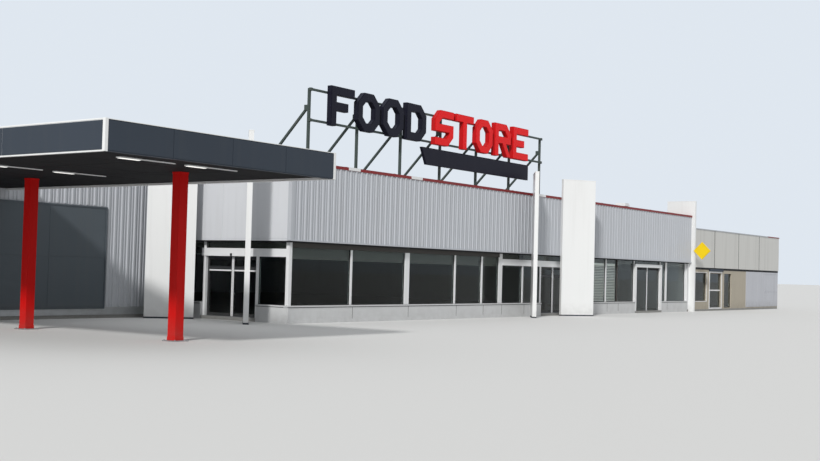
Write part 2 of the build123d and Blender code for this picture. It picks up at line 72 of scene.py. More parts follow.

# %% [markdown]
# The camera comes first, because every later choice is compared with the photograph. It stands where the
# photograph was taken, at eye height, well to the left of the front corner. It could be aimed with a
# tracking constraint, but that leaves out the small roll of a camera held by hand. So its three turns are
# rotation matrices, and its focal length in pixels becomes a lens length through the sensor's width.

# %% Camera where the photo was taken
photo_width = 820
focal_length = 1166
sensor_width = 36.0
eye = on_plan(-15.301, -13.618, 0.9625)
heading, pitch, roll = math.radians(35.82), math.radians(2.04), math.radians(1.50)
camera_data = bpy.data.cameras.new("photographer")
camera_data.sensor_width = sensor_width
camera_data.lens = focal_length / photo_width * sensor_width
camera_data.clip_end = 2000
camera = bpy.data.objects.new("photographer", camera_data)
level_view = Matrix.Rotation(heading - math.pi / 2, 4, "Z") @ Matrix.Rotation(math.pi / 2 + pitch, 4, "X")
camera.matrix_world = Matrix.Translation(eye) @ level_view @ Matrix.Rotation(roll, 4, "Z")
scene.collection.objects.link(camera)
scene.camera = camera
print("lens", round(camera_data.lens, 2), "mm")

# %% [markdown]
# Sky and surfaces are built from shader nodes. In the editor they are placed and linked by hand, and in a
# script each of those steps would take a line. So one helper feeds a node's inputs with plain values or
# with outputs of other nodes, and the next ones add a node that is fed in the same step. A new material
# goes straight on its parts of the frame, and a set keeps the parts that still lack one.

# %% Helpers for shader nodes
unfinished = set(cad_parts)


def feed(tree, node, inputs):
    """Set each input to a plain value, or link it to an output."""
    for label, value in inputs.items():
        if isinstance(value, bpy.types.NodeSocket):
            tree.links.new(value, node.inputs[label])
        else:
            node.inputs[label].default_value = value
    return node


def add_node(tree, kind, inputs, **settings):
    """New shader node with its settings and its inputs."""
    node = tree.nodes.new("ShaderNode" + kind)
    for name, value in settings.items():
        setattr(node, name, value)
    return feed(tree, node, inputs)


def math_node(tree, operation, first, second, clamp=False):
    """Output of a math node."""
    return add_node(tree, "Math", {0: first, 1: second}, operation=operation, use_clamp=clamp).outputs[0]


def new_material(name, inputs, seen_as=None, parts=""):
    """Material with these inputs on its Principled shader, given to the named parts of the frame."""
    material = bpy.data.materials.new(name)
    material.use_nodes = True
    if seen_as:
        material.diffuse_color = seen_as
    feed(material.node_tree, material.node_tree.nodes["Principled BSDF"], inputs)
    for part in parts.split():
        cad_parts[part].data.materials.clear()
        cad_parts[part].data.materials.append(material)
        unfinished.remove(part)
    return material


# %% [markdown]
# The real building stands in afternoon sun under a bright sky. A picture of a sky could light it, but it
# would bring a place with it, so the studio is a pale floor and a pale sky. The sky lights the building
# softly, and only the rays that go straight to the camera, through glass or into a reflection see it
# brighter. One broad lamp stands where the afternoon light comes from, so that the ribs get a bright
# flank and a shaded one.

# %% Studio floor, sky and lamp
scene.view_settings.view_transform = "Standard"
world = bpy.data.worlds.new("studio")
scene.world = world
world.use_nodes = True
sky = world.node_tree
sky.nodes.clear()
rays = add_node(sky, "LightPath", {}).outputs
seen = math_node(sky, "MAXIMUM", rays["Is Camera Ray"], rays["Is Glossy Ray"])
seen = math_node(sky, "MAXIMUM", seen, rays["Is Transmission Ray"])
lit_sky = add_node(sky, "Background", {"Color": (0.97, 0.985, 1.0, 1), "Strength": 0.55})
seen_sky = add_node(sky, "Background", {"Color": (0.74, 0.80, 0.87, 1), "Strength": 1.0})
mixed_sky = add_node(sky, "MixShader", {0: seen, 1: lit_sky.outputs[0], 2: seen_sky.outputs[0]})
add_node(sky, "OutputWorld", {"Surface": mixed_sky.outputs[0]})

sun_heading = math.radians(21)
sun_height = math.radians(32)
light_way = Vector((math.cos(sun_heading), math.sin(sun_heading), -math.tan(sun_height)))
sun_data = bpy.data.lights.new("broad_lamp", "SUN")
sun_data.energy = 2.3
sun_data.angle = math.radians(5)
sun_data.color = (1.0, 0.985, 0.96)
sun = bpy.data.objects.new("broad_lamp", sun_data)
sun.rotation_euler = light_way.to_track_quat("-Z", "Y").to_euler()
scene.collection.objects.link(sun)

floor_reach = 450
ground = bmesh.new()
bmesh.ops.create_grid(ground, x_segments=1, y_segments=1, size=floor_reach)
floor_mesh = bpy.data.meshes.new("studio_floor")
ground.to_mesh(floor_mesh)
ground.free()
floor_look = {"Base Color": (0.72, 0.72, 0.71, 1), "Roughness": 0.9}
floor_mesh.materials.append(new_material("studio_floor", floor_look))
studio_floor = bpy.data.objects.new("studio_floor", floor_mesh)
scene.collection.objects.link(studio_floor)
print("studio ready")

# %% [markdown]
# A pattern that many finishes share belongs in a node group. A group could be made out of nodes that are
# already in a material, but one that is new from the start has sockets with plain names. The other
# helpers give a smooth map from one range to another, a noise over Object coordinates, and a tint that
# turns lighter and darker with a noise.


# %% Helpers for patterns
def new_group(name, inputs, outputs):
    """Node group with named sockets, its inputs and its output node."""
    group = bpy.data.node_groups.new(name, "ShaderNodeTree")
    for way, labels in (("INPUT", inputs), ("OUTPUT", outputs)):
        for label in labels.split():
            kind = "NodeSocketColor" if label in ("Color", "Dirt") else "NodeSocketFloat"
            group.interface.new_socket(label, in_out=way, socket_type=kind)
    return group, group.nodes.new("NodeGroupInput").outputs, group.nodes.new("NodeGroupOutput")


def range_node(tree, value, from_low, from_high, to_low=0.0, to_high=1.0):
    """Smooth map from one range to another."""
    inputs = {"Value": value, "From Min": from_low, "From Max": from_high}
    inputs |= {"To Min": to_low, "To Max": to_high}
    return add_node(tree, "MapRange", inputs, interpolation_type="SMOOTHSTEP").outputs["Result"]


def noise_node(tree, stretch, scale, detail):
    """Noise over Object coordinates, stretched along each axis."""
    place = add_node(tree, "TexCoord", {}).outputs["Object"]
    place = add_node(tree, "Mapping", {"Vector": place, "Scale": stretch}).outputs["Vector"]
    return add_node(tree, "TexNoise", {"Vector": place, "Scale": scale, "Detail": detail}).outputs["Fac"]


def mottle(tree, noise, strength, tint):
    """Shift around zero that follows a noise, and a colour made lighter or darker by it."""
    shift = math_node(tree, "MULTIPLY", math_node(tree, "SUBTRACT", noise, 0.5), strength)
    brightness = math_node(tree, "ADD", shift, 1.0)
    return shift, add_node(tree, "HueSaturation", {"Color": tint, "Value": brightness}).outputs["Color"]


# %% [markdown]
# Weather leaves the same marks on every outside face: the tone drifts a little over metres, rain draws
# thin vertical streaks, and splashes darken the foot of a wall. Painted pictures could show them, but
# each piece would then have to be unwrapped. Noises over Object coordinates, which are metres in the
# frame, run on from piece to piece. Each material sets its own amounts.

# %% Node group for weather
labels = "Color Dirt Roughness Drift Streaks Foot"
weather, amount, weather_out = new_group("weather", labels, "Color Roughness Height")
drift_noise = noise_node(weather, (1, 1, 1), 0.55, 3)
streak_noise = noise_node(weather, (9, 9, 0.45), 1.0, 5)
splash_noise = noise_node(weather, (1, 1, 1), 7.0, 6)
drift, drifted = mottle(weather, drift_noise, amount["Drift"], amount["Color"])
streaks = range_node(weather, streak_noise, 0.48, 0.76)
streaks = math_node(weather, "MULTIPLY", streaks, amount["Streaks"], True)
place = add_node(weather, "TexCoord", {}).outputs["Object"]
height = add_node(weather, "SeparateXYZ", {"Vector": place}).outputs["Z"]
splashes = range_node(weather, splash_noise, 0.3, 0.7, 0.35, 1.0)
splashes = math_node(weather, "MULTIPLY", range_node(weather, height, 0.0, 0.42, 1.0, 0.0), splashes)
splashes = math_node(weather, "MULTIPLY", splashes, amount["Foot"], True)
dirt = math_node(weather, "MAXIMUM", streaks, splashes)
dirty = add_node(weather, "Mix", {"Factor": dirt, "A": drifted, "B": amount["Dirt"]}, data_type="RGBA")
roughness = math_node(weather, "ADD", amount["Roughness"], math_node(weather, "MULTIPLY", drift, 0.8))
roughness = math_node(weather, "ADD", roughness, math_node(weather, "MULTIPLY", dirt, 0.5), True)
feed(weather, weather_out, {"Color": dirty.outputs["Result"], "Roughness": roughness, "Height": splash_noise})
print("weather group with", len(weather.nodes), "nodes")

# %% [markdown]
# Render, roofing felt and concrete differ from sheet metal by their grain. Real grains would be far too
# many to model, so a second group gives a fine height and a mottled colour, with the grain's size as an
# input. Its height feeds a Bump node in each material, which only bends the light.

# %% Node group for grain
grain, amount, grain_out = new_group("grain", "Color Scale Contrast", "Color Height")
place = add_node(grain, "TexCoord", {}).outputs["Object"]
speckle = add_node(grain, "TexNoise", {"Vector": place, "Scale": amount["Scale"], "Detail": 8}).outputs["Fac"]
_, grained = mottle(grain, speckle, amount["Contrast"], amount["Color"])
feed(grain, grain_out, {"Color": grained, "Height": speckle})
print("grain group with", len(grain.nodes), "nodes")

# %% [markdown]
# Painted sheet, rendered wall and felt roof weather alike, and differ in colour, gloss and grain. Each
# could have its own nodes, but the same ones would then stand in twenty places. So one short function
# makes the finish of every sheet and wall, and another makes glass. The Principled shader stays in the
# material, and whatever is the same all over the surface is set straight on its inputs.


# %% Material makers
dirt_colour = (0.16, 0.15, 0.13, 1)


def paint(
    name, base, roughness, parts="", drift=0.06, streaks=0.12, foot=0.25,
    metallic=0.0, specular=0.4, grains=None,
):
    """Sheet or wall that stands in the weather. Grains are scale, contrast, bump and its depth."""
    base = (*base, 1.0)
    material = new_material(name, {"Metallic": metallic, "Specular IOR Level": specular}, base, parts)
    tree = material.node_tree
    shader = tree.nodes["Principled BSDF"]
    inputs = {"Color": base, "Dirt": dirt_colour, "Roughness": roughness}
    inputs |= {"Drift": drift, "Streaks": streaks, "Foot": foot}
    marks = add_node(tree, "Group", inputs, node_tree=weather)
    feed(tree, shader, {"Base Color": marks.outputs["Color"], "Roughness": marks.outputs["Roughness"]})
    if grains:
        scale, contrast, strength, depth = grains
        inputs = {"Color": base, "Scale": scale, "Contrast": contrast}
        mottled = add_node(tree, "Group", inputs, node_tree=grain).outputs
        feed(tree, marks, {"Color": mottled["Color"]})
        bump = add_node(tree, "Bump", {"Strength": strength, "Distance": depth, "Height": mottled["Height"]})
        feed(tree, shader, {"Normal": bump.outputs["Normal"]})
    return material


def clear_glass(name, tint, parts):
    """Solid glass with a plain tint."""
    tint = (*tint, 1.0)
    inputs = {"Base Color": tint, "Roughness": 0.01, "IOR": 1.2, "Transmission Weight": 1.0}
    new_material(name, inputs, tint, parts)


# %% [markdown]
# The long front and the drive wall are a light lilac grey, the entrance front is paler and smooth, the
# frames and blades are white, and the canopy, its board and the sign plate are anthracite. Colours could
# be read off the sunlit walls, but the lamp would brighten them a second time, so each is the paint's
# own, darker tone. Parts that share a paint are named together.

# %% Paints of the building
walls = "front_band drive_wall left_wall rear_wall right_wall"
frames = "front_beams entrance_beams shopfront_posts portal_frame canopy_end_panels"
blades = "entrance_blades front_blades"
copings = "long_copings side_copings"
bare_metal = "annex_coping door_tracks"
dark_signs = "sign_plate dark_letters"
leaves = ("front_door_left", "front_door_right", "entrance_door_left", "entrance_door_right")
annex_sheets = "annex_band annex_end_wall annex_rear_wall"
sign_frame = "sign_posts sign_braces sign_rails"
paint("rib_paint", (0.465, 0.485, 0.52), 0.42, walls, drift=0.08, streaks=0.10, foot=0.18)
paint("smooth_paint", (0.62, 0.635, 0.665), 0.35, "entrance_band", streaks=0.07)
paint("coping_paint", (0.22, 0.022, 0.024), 0.45, copings, drift=0.3, streaks=0.2, specular=0.2)
paint("frame_paint", (0.76, 0.77, 0.78), 0.35, frames, streaks=0.06, foot=0.15)
paint("blade_paint", (0.80, 0.81, 0.81), 0.3, blades, drift=0.04, streaks=0.05, foot=0.2)
paint("anthracite_paint", (0.043, 0.054, 0.071), 0.5, "canopy_fascia", drift=0.3, streaks=0.04, specular=0.12)
paint("post_paint", (0.58, 0.006, 0.005), 0.45, "canopy_posts", streaks=0.04, foot=0.2, specular=0.08)
paint("sign_steel_paint", (0.06, 0.08, 0.075), 0.6, sign_frame, drift=0.5, streaks=0.25, specular=0.2)
paint("letter_dark_paint", (0.010, 0.010, 0.020), 0.45, dark_signs, streaks=0.02, specular=0.12)
paint("letter_red_paint", (0.80, 0.012, 0.014), 0.4, streaks=0.03, specular=0.12)
# Painted shade: the red letters' sides are a darker red than their faces.
paint("letter_side_shaded_red", (0.50, 0.008, 0.010), 0.5, "red_letters", streaks=0.05, specular=0.12)
paint("yellow_paint", (0.88, 0.62, 0.012), 0.4, "diamond_sign", streaks=0.05, specular=0.2)
paint("annex_paint", (0.57, 0.565, 0.54), 0.4, annex_sheets, drift=0.08, streaks=0.14)
paint("annex_wall_paint", (0.48, 0.49, 0.53), 0.45, foot=0.3)
paint("door_metal", (0.70, 0.71, 0.72), 0.32, streaks=0.03, foot=0.1, metallic=0.3)
paint("leaf_paint", (0.030, 0.032, 0.035), 0.4, " ".join(leaves), streaks=0.03, foot=0.1, specular=0.3)
paint("zinc_metal", (0.45, 0.46, 0.47), 0.4, bare_metal, drift=0.25, streaks=0.1, metallic=0.7)
# Black rubber for gaskets and seals; the same black also draws painted shade under the bands and across the
# portal's pane.
paint("rubber_and_shade_black", (0.015, 0.015, 0.017), 0.7, streaks=0.1, specular=0.2)
paint("bulkhead_paint", (0.14, 0.13, 0.115), 0.6, streaks=0.0, foot=0.0)
# Dark paint for the painted shade over the post tops and for the cover of one post.
paint("shade_and_cover_paint", (0.062, 0.058, 0.054), 0.6, streaks=0.05, specular=0.15)
paint("board_paint", (0.094, 0.112, 0.128), 0.5, "drive_board", drift=0.2, streaks=0.06, specular=0.15)
paint("soffit_paint", (0.012, 0.012, 0.014), 0.8, drift=0.3, streaks=0.0, foot=0.0, specular=0.1)
print(len(bpy.data.materials), "materials so far")

# %% [markdown]
# Render, concrete and roofing felt have grain. The roof lights and the pale window blinds are plastic.
# The blinds could be lit by lamps in the room, but they get a faint glow of their own instead: painted
# light, which is steadier and quicker to render. The canopy's lamps glow more. Each pane is a solid, so
# its glass is set to bend light only a little, and the rooms stay straight behind it.

# %% Mineral, plastic, glass and glowing finishes
low_walls = "front_low_wall entrance_low_wall"
floors = "hall_floor wing_floor annex_floor"
roofs = "hall_roof wing_roof annex_roof canopy_deck"
leaf_panes = " ".join(leaf + "_glass" for leaf in leaves)
low_wall_grains = (90, 0.10, 0.25, 0.002)
annex_grains = (80, 0.15, 0.3, 0.002)
concrete_grains = (25, 0.25, 0.3, 0.003)
felt_grains = (160, 0.5, 0.5, 0.002)
paint("low_wall_render", (0.60, 0.61, 0.62), 0.75, low_walls, streaks=0.1, foot=0.18, grains=low_wall_grains)
paint("beige_render", (0.42, 0.38, 0.31), 0.8, "annex_front_wall", streaks=0.1, foot=0.3, grains=annex_grains)
paint("slab_concrete", (0.27, 0.27, 0.262), 0.7, floors, streaks=0.0, grains=concrete_grains)
paint("roof_felt", (0.20, 0.205, 0.21), 0.85, roofs, streaks=0.0, foot=0.0, grains=felt_grains)
paint("opal_plastic", (0.72, 0.75, 0.76), 0.25, "roof_lights", streaks=0.06, specular=0.6)
blind_tree = paint("blind_plastic", (0.90, 0.90, 0.86), 0.5, streaks=0.0, foot=0.0).node_tree
# Painted light: a faint glow on the blinds stands in for the light that falls on them.
blind_glow = {"Emission Color": (1.0, 0.91, 0.89, 1), "Emission Strength": 0.17}
feed(blind_tree, blind_tree.nodes["Principled BSDF"], blind_glow)
lamp_glow = {"Emission Color": (1.0, 0.98, 0.94, 1), "Emission Strength": 0.8}
new_material("lamp_glow", {"Base Color": (0.9, 0.9, 0.88, 1), **lamp_glow})
clear_glass("shop_pane", (0.66, 0.73, 0.71), "shop_glass")
clear_glass("door_pane", (0.86, 0.91, 0.89), leaf_panes)
clear_glass("annex_pane", (0.58, 0.65, 0.65), "annex_glass")
print(len(bpy.data.materials), "materials in all, parts without a finish:", sorted(unfinished))

# %% [markdown]
# Most fixings are slim bars or picture frames. A bar is a block: a cube that is scaled and moved into
# place. Its sharp edges could stay, but bevelled ones catch the light as folded metal does. A frame could
# be four bars, but their ends would overlap, so a rim is one block whose two broad faces are inset and
# bridged.


# %% Blocks and rims
def add_block(bm, low, high, bevel=0.0):
    """Closed block between two corners."""
    low, high = Vector(low), Vector(high)
    verts = bmesh.ops.create_cube(bm, size=1.0)["verts"]
    bmesh.ops.scale(bm, vec=high - low, verts=verts)
    bmesh.ops.translate(bm, vec=(low + high) / 2, verts=verts)
    if bevel:
        edges = list({edge for vert in verts for edge in vert.link_edges})
        cut = {"offset": bevel, "affect": "EDGES", "segments": 1, "profile": 0.5, "material": -1}
        made = bmesh.ops.bevel(bm, geom=edges, **cut)["verts"]
        verts = list({vert for vert in verts if vert.is_valid} | set(made))
    return verts


def add_rim(bm, low, high, axis, width):
    """Picture frame around a box that is thin along one axis."""
    verts = add_block(bm, low, high)
    faces = {face for vert in verts for face in vert.link_faces}
    broad = [face for face in faces if abs(face.normal[axis]) > 0.9]
    bmesh.ops.inset_individual(bm, faces=broad, thickness=width)
    edges = [edge for face in broad for edge in face.edges]
    bmesh.ops.delete(bm, geom=broad, context="FACES_ONLY")
    bmesh.ops.bridge_loops(bm, edges=edges)


# %% [markdown]
# A bolt head has six sides. A cone with six segments would do, but it is centred on its middle. A circle
# of six points whose face is extruded and lifted has its foot at its own place, so it can be set straight
# on a plate.


# %% Bolt heads
def add_bolt(bm, place, size):
    """Bolt head as high as its radius, standing on a point."""
    made = bmesh.ops.create_circle(bm, cap_ends=True, segments=6, radius=size)
    face = made["verts"][0].link_faces[0]
    top = bmesh.ops.extrude_discrete_faces(bm, faces=[face])["faces"][0]
    bmesh.ops.translate(bm, vec=(0, 0, size), verts=top.verts)
    verts = list({vert for edge in top.edges for face in edge.link_faces for vert in face.verts})
    bmesh.ops.translate(bm, vec=place, verts=verts)


# %% [markdown]
# A trim can be many strips, but it is ordered and fitted as one thing. Every strip could be an object of
# its own, but hundreds of them are hard to oversee. So the blocks, rims and bolts of a trim are gathered
# in one bmesh and become one piece, which gets its finish, its colour slot and the body that it rides on.


# %% Finished pieces
def finish_piece(name, bm, material, body="building"):
    """Turn a bmesh into a piece with its finish and its body."""
    bmesh.ops.recalc_face_normals(bm, faces=bm.faces)
    mesh = bpy.data.meshes.new(name)
    bm.to_mesh(mesh)
    bm.free()
    mesh.materials.append(bpy.data.materials[material])
    piece = bpy.data.objects.new(name, mesh)
    scene.collection.objects.link(piece)
    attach(piece, body)
    print(name, len(mesh.polygons), "faces")


def make_piece(name, material, blocks=(), bevel=0.002, rims=(), bolts=(), body="building"):
    """Piece made of blocks, rims and bolts. A block is two corners, with its own bevel if that differs."""
    bm = bmesh.new()
    for rim in rims:
        add_rim(bm, *rim)
    for low, high, *own_bevel in blocks:
        add_block(bm, low, high, *(own_bevel or [bevel]))
    for bolt in bolts:
        add_bolt(bm, *bolt)
    finish_piece(name, bm, material, body)


# %% [markdown]
# One named part can be many separate solids, such as all the panes of the shop. Their places could be
# typed in, but a trim that is measured from its part can't miss it. So the points of a merged copy are
# followed from edge to edge until a solid is complete, and the solids are sorted by their places on plan.
# Two more helpers widen a box on plan and divide a length into equal parts.


# %% Measures of the parts
def wider(low, high, more, bottom, top):
    """Corners of a block that is wider than a box on plan by so much on each side."""
    return (low.x - more, low.y - more, bottom), (high.x + more, high.y + more, top)


def equal_parts(start, end, count, gap):
    """Starts and ends of equal parts of a length, each a gap shorter at both ends."""
    step = (end - start) / count
    return [(start + number * step + gap, start + (number + 1) * step - gap) for number in range(count)]


def islands_of(node):
    """Points of each separate solid of a part, in the order of their places on plan."""
    bm = bmesh.new()
    bm.from_mesh(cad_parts[node].data)
    bmesh.ops.remove_doubles(bm, verts=bm.verts, dist=1e-5)
    waiting = set(bm.verts)
    found = []
    while waiting:
        island = [waiting.pop()]
        for vert in island:
            near = {edge.other_vert(vert) for edge in vert.link_edges} & waiting
            waiting -= near
            island.extend(near)
        found.append([vert.co.copy() for vert in island])
    bm.free()
    return sorted(found, key=lambda points: [round(min(values), 3) for values in zip(*points)])


def solids_of(node):
    """Lowest and highest corner of each separate solid of a part."""
    return [
        tuple(Vector([end(values) for values in zip(*points)]) for end in (min, max))
        for points in islands_of(node)
    ]


print(len(solids_of("shop_glass")), "shop panes and", len(solids_of("roof_lights")), "roof lights")

# %% [markdown]
# The walls are clad in trapezoidal sheet, with a rib every 157 mm at this size and a small stiffener
# between two ribs. An array modifier could repeat one rib, but the pitch is fitted to the length of each
# wall. The flat pans are the wall itself, so only the ribs are added: blocks whose outer side is narrowed
# to the crown. Their foot is sunk a little into the wall, so that no gap shows along it.

# %% Ribs of the trapezoidal sheet
rib_pitch = 0.157
rib_profile = (0.062, 0.034, 0.018)
stiffener_profile = (0.034, 0.014, 0.009)
rib_sunk = 0.003


def add_rib(bm, middle, profile, face, outward, along, bottom):
    """One upright rib. Its profile is the width at the foot, the width at the crown and the depth."""
    foot, crown_width, depth = profile
    across = 1 - along
    low, high = Vector((0, 0, bottom)), Vector((0, 0, band_top))
    low[along], high[along] = middle - foot / 2, middle + foot / 2
    low[across], high[across] = sorted((face - outward * rib_sunk, face + outward * depth))
    verts = add_block(bm, low, high)
    crown = [vert for vert in verts if (vert.co[across] - face) * outward > depth / 2]
    narrow, centre = Vector((1, 1, 1)), Vector((0, 0, 0))
    narrow[along], centre[along] = crown_width / foot, middle
    bmesh.ops.scale(bm, vec=narrow, space=Matrix.Translation(-centre), verts=crown)


def make_ribs(name, rows):
    """Rows of ribs. A row is its start and end, the wall's face, outward sign and axis, and its foot."""
    bm = bmesh.new()
    for start, end, *wall in rows:
        count = max(1, round((end - start) / rib_pitch))
        pitch = (end - start) / count
        for number in range(count):
            middle = start + (number + 0.25) * pitch
            add_rib(bm, middle, rib_profile, *wall)
            add_rib(bm, middle + pitch / 2, stiffener_profile, *wall)
    finish_piece(name, bm, "rib_paint")


trim = 0.03
plinth_top = 0.20
board_low, board_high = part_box("drive_board")
annex_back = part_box("annex_rear_wall")[1].y
cap_low, cap_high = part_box("annex_coping")
make_ribs("front_ribs", [(corner_x + trim, front_end - trim, corner_y, -1, 0, band_bottom + 0.004)])
make_ribs("drive_wall_ribs", [
    (left_face + trim, board_low.x - trim, wing_face, -1, 0, plinth_top),
    (board_high.x + trim, corner_x - trim, wing_face, -1, 0, plinth_top),
    (board_low.x - trim, board_high.x + trim, wing_face, -1, 0, board_high.z + trim),
])
make_ribs("left_wall_ribs", [(wing_face + trim, rear_face - trim, left_face, -1, 1, plinth_top)])
make_ribs("rear_wall_ribs", [(left_face + trim, front_end - trim, rear_face, 1, 0, plinth_top)])
make_ribs("right_wall_ribs", [
    (annex_back + trim, rear_face - trim, front_end, 1, 1, plinth_top),
    (corner_y + 0.85, annex_back, front_end, 1, 1, cap_high.z + trim),
])

# %% [markdown]
# Folded sheet closes the edges of the cladding: a drip under the bands, an angle at each corner and a
# plinth strip along the closed walls. They could be bent from thin sheet, but only their outer faces
# show, so each is a slim block a few millimetres proud of the pans. A black strip under each band is
# painted shade: it fills the slot in front of the window frames and draws a thin dark line over the
# glass, where the band shades them.

# %% Flashings of the cladding and painted shade under the bands
drip = 0.022
angle = 0.10
corner_angle = 0.06
plinth = 0.06
left_out, rear_out, wing_out = left_face - 0.020, rear_face + 0.020, wing_face - 0.020
make_piece("front_flashings", "rib_paint", [
    (on_plan(-0.004, -0.024, band_bottom - 0.006), (front_end, corner_y + 0.004, band_bottom + drip), 0),
    (on_plan(-0.021, -0.021, band_bottom), on_plan(corner_angle, 0.004, band_top)),
    (on_plan(-0.021, 0.004, band_bottom), on_plan(0.004, corner_angle, band_top)),
])
# Painted shade: black strips under the bands, where they shade the tops of the window frames.
shade_strip_low, shade_strip_high = band_bottom - 0.030, band_bottom - 0.001
make_piece("band_shade_strips", "rubber_and_shade_black", [
    (on_plan(0.006, 0.006, shade_strip_low), on_plan(17.88, 0.094, shade_strip_high)),
    (on_plan(0.006, 0.096, shade_strip_low), on_plan(0.094, 2.99, shade_strip_high)),
])
make_piece("wall_flashings", "zinc_metal", [
    ((left_out, wing_out, plinth), (corner_x - 0.004, wing_face + 0.004, plinth_top)),
    ((left_out, wing_face, plinth), (left_face + 0.004, rear_face, plinth_top)),
    ((left_face, rear_face - 0.004, plinth), (front_end, rear_out, plinth_top)),
    ((front_end - 0.004, annex_back + 0.01, plinth), (front_end + 0.018, rear_face, plinth_top)),
    ((left_out, wing_out, plinth), (left_face + angle, wing_face, band_top)),
    ((left_out, wing_face, plinth), (left_face, wing_face + angle, band_top)),
    ((left_out, rear_face - angle, plinth), (left_face, rear_out, band_top)),
    ((left_face, rear_face, plinth), (left_face + angle, rear_out, band_top)),
    ((front_end - angle, rear_face, plinth), (front_end, rear_out, band_top)),
    ((front_end, rear_face - angle, plinth), (front_end + 0.017, rear_out, band_top)),
])

# %% [markdown]
# The parapet capping is laid in lengths, with a strap over each joint. The joints could be cut, but the
# capping belongs to the frame and stays whole. So only the straps are added, a little larger than the
# capping's own section. On the long front a few lengths are white, which shows as pale pieces in the dark
# red line.

# %% Straps and pale lengths of the capping
strap_width = 0.05
strap_proud = Vector((0.004, 0.004, 0.004))
strap_pitch = 1.5
straps = []
for low, high in solids_of("long_copings") + solids_of("side_copings"):
    along = 0 if high.x - low.x > high.y - low.y else 1
    count = round((high[along] - low[along]) / strap_pitch)
    for number in range(1, count):
        middle = low[along] + (high[along] - low[along]) * number / count
        strap_low, strap_high = low - strap_proud, high + strap_proud
        strap_low[along], strap_high[along] = middle - strap_width / 2, middle + strap_width / 2
        strap_low.z = low.z + 0.002
        if high.x > front_end - 0.1 and along == 1:
            strap_high.x = high.x
        straps.append((strap_low, strap_high))
make_piece("capping_straps", "coping_paint", straps, bevel=0.0015)
make_piece("pale_cappings", "frame_paint", [
    (on_plan(start, -0.026, coping_low.z + 0.003), on_plan(end, 0.06, coping_high.z + 0.005))
    for start, end in ((1.55, 1.90), (3.55, 3.93), (8.62, 9.02))
])

# %% [markdown]
# The entrance front is clad in two smooth cassettes with a narrow open joint between them. The joint
# could be cut into the wall, but the wall stays whole as well. So a cassette is a block six millimetres
# proud of it, and the joint is the space that two of them leave.

# %% Cassettes of the entrance band
cassette_edges = (corner_y + corner_angle + 0.004, corner_y + 1.66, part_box("entrance_band")[1].y - 0.02)
cassettes = [
    ((corner_x - 0.006, start + 0.004, band_bottom + 0.03), (corner_x + 0.002, end - 0.004, band_top - 0.004))
    for start, end in zip(cassette_edges, cassette_edges[1:])
]
drip_high = (corner_x + 0.002, wing_face, band_bottom + drip)
cassettes.append((on_plan(-0.010, 0.004, band_bottom - 0.006), drip_high, 0))
make_piece("entrance_cassettes", "smooth_paint", cassettes)

# %% [markdown]
# Each pane sits in a dark gasket, which draws a thin black line round the glass. It could be a dark
# border in the glass material, but a real one stands proud of both faces. So a rim straddles the pane's
# edge. It is made from the pane's own box, so it can't miss its place, and those of the door leaves ride
# with the leaves.

# %% Gaskets round the panes
gasket = 0.014
glazing = [("shop", "shop_glass", "building"), ("annex", "annex_glass", "building")]
glazing += [(leaf.replace("_door", ""), leaf + "_glass", leaf) for leaf in leaves]
for name, node, body in glazing:
    rims = []
    for low, high in solids_of(node):
        axis = 0 if high.x - low.x < high.y - low.y else 1
        low[axis] -= 0.005
        high[axis] += 0.005
        rims.append((low, high, axis, gasket))
    make_piece(name + "_gaskets", "rubber_and_shade_black", rims=rims, body=body)

# %% [markdown]
# Behind the top of the shop windows runs a dark board that hides the ceiling void. On the long run of
# windows a dark strip across the tops of the posts is painted shade, where the band above shades them.
# Darker glass would do for one view, but a board keeps its depth when the view changes. Plain blocks are
# enough, because only their fronts and lower edges show.

# %% Dark board behind the glass and painted shade over the posts
frame_back = 0.170
board_back = frame_back + 0.012
board_foot, board_top = 1.325, 1.440
make_piece("window_boards", "bulkhead_paint", [
    (on_plan(frame_back, frame_back, 1.14), on_plan(8.17, board_back, board_top)),
    (on_plan(8.32, frame_back, board_foot), on_plan(17.89, board_back, board_top)),
    (on_plan(frame_back, board_back + 0.001, board_foot), on_plan(board_back, 3.0, board_top)),
], bevel=0.001)
# Painted shade: a dark strip across the tops of the posts, where the band above shades them.
post_top_shade = (on_plan(0.175, 0.090, 1.345), on_plan(7.17, 0.109, shade_strip_low))
make_piece("post_top_shade_strip", "shade_and_cover_paint", [post_top_shade], bevel=0.003)

# %% [markdown]
# Pale blinds hang behind two windows to the right of the tall blade. Stripes on a flat sheet could stand
# for them, but slats shade each other as real ones do. So a blind is a stack of thin blocks, each turned
# about its own line, under a head box.

# %% Blinds behind two windows
slat_pitch = 0.042
slat_depth = 0.034
slat_turn = Matrix.Rotation(math.radians(35), 3, "X")
slat_place = frame_back + 0.040
blind_bottom = 0.345
blinds = bmesh.new()
for start, end in ((11.62, 12.56), (12.57, 13.42)):
    head = (on_plan(start, frame_back + 0.015, 1.285), on_plan(end, frame_back + 0.065, 1.325))
    add_block(blinds, *head, 0.004)
    height = 1.27
    while height > blind_bottom:
        low = on_plan(start, slat_place - slat_depth / 2, height - 0.0015)
        verts = add_block(blinds, low, on_plan(end, slat_place + slat_depth / 2, height + 0.0015))
        bmesh.ops.rotate(blinds, cent=on_plan(start, slat_place, height), matrix=slat_turn, verts=verts)
        height -= slat_pitch
finish_piece("window_blinds", blinds, "blind_plastic")

# %% [markdown]
# At the doors come the small parts: a presence sensor under the entrance header, and a ribbed floor
# grille between the jambs of both doors. A grille could be one plate with a striped finish, but at a low
# angle its bars catch the light one by one. So each bar is a strip, and a helper gives a strip's corners
# on either front.


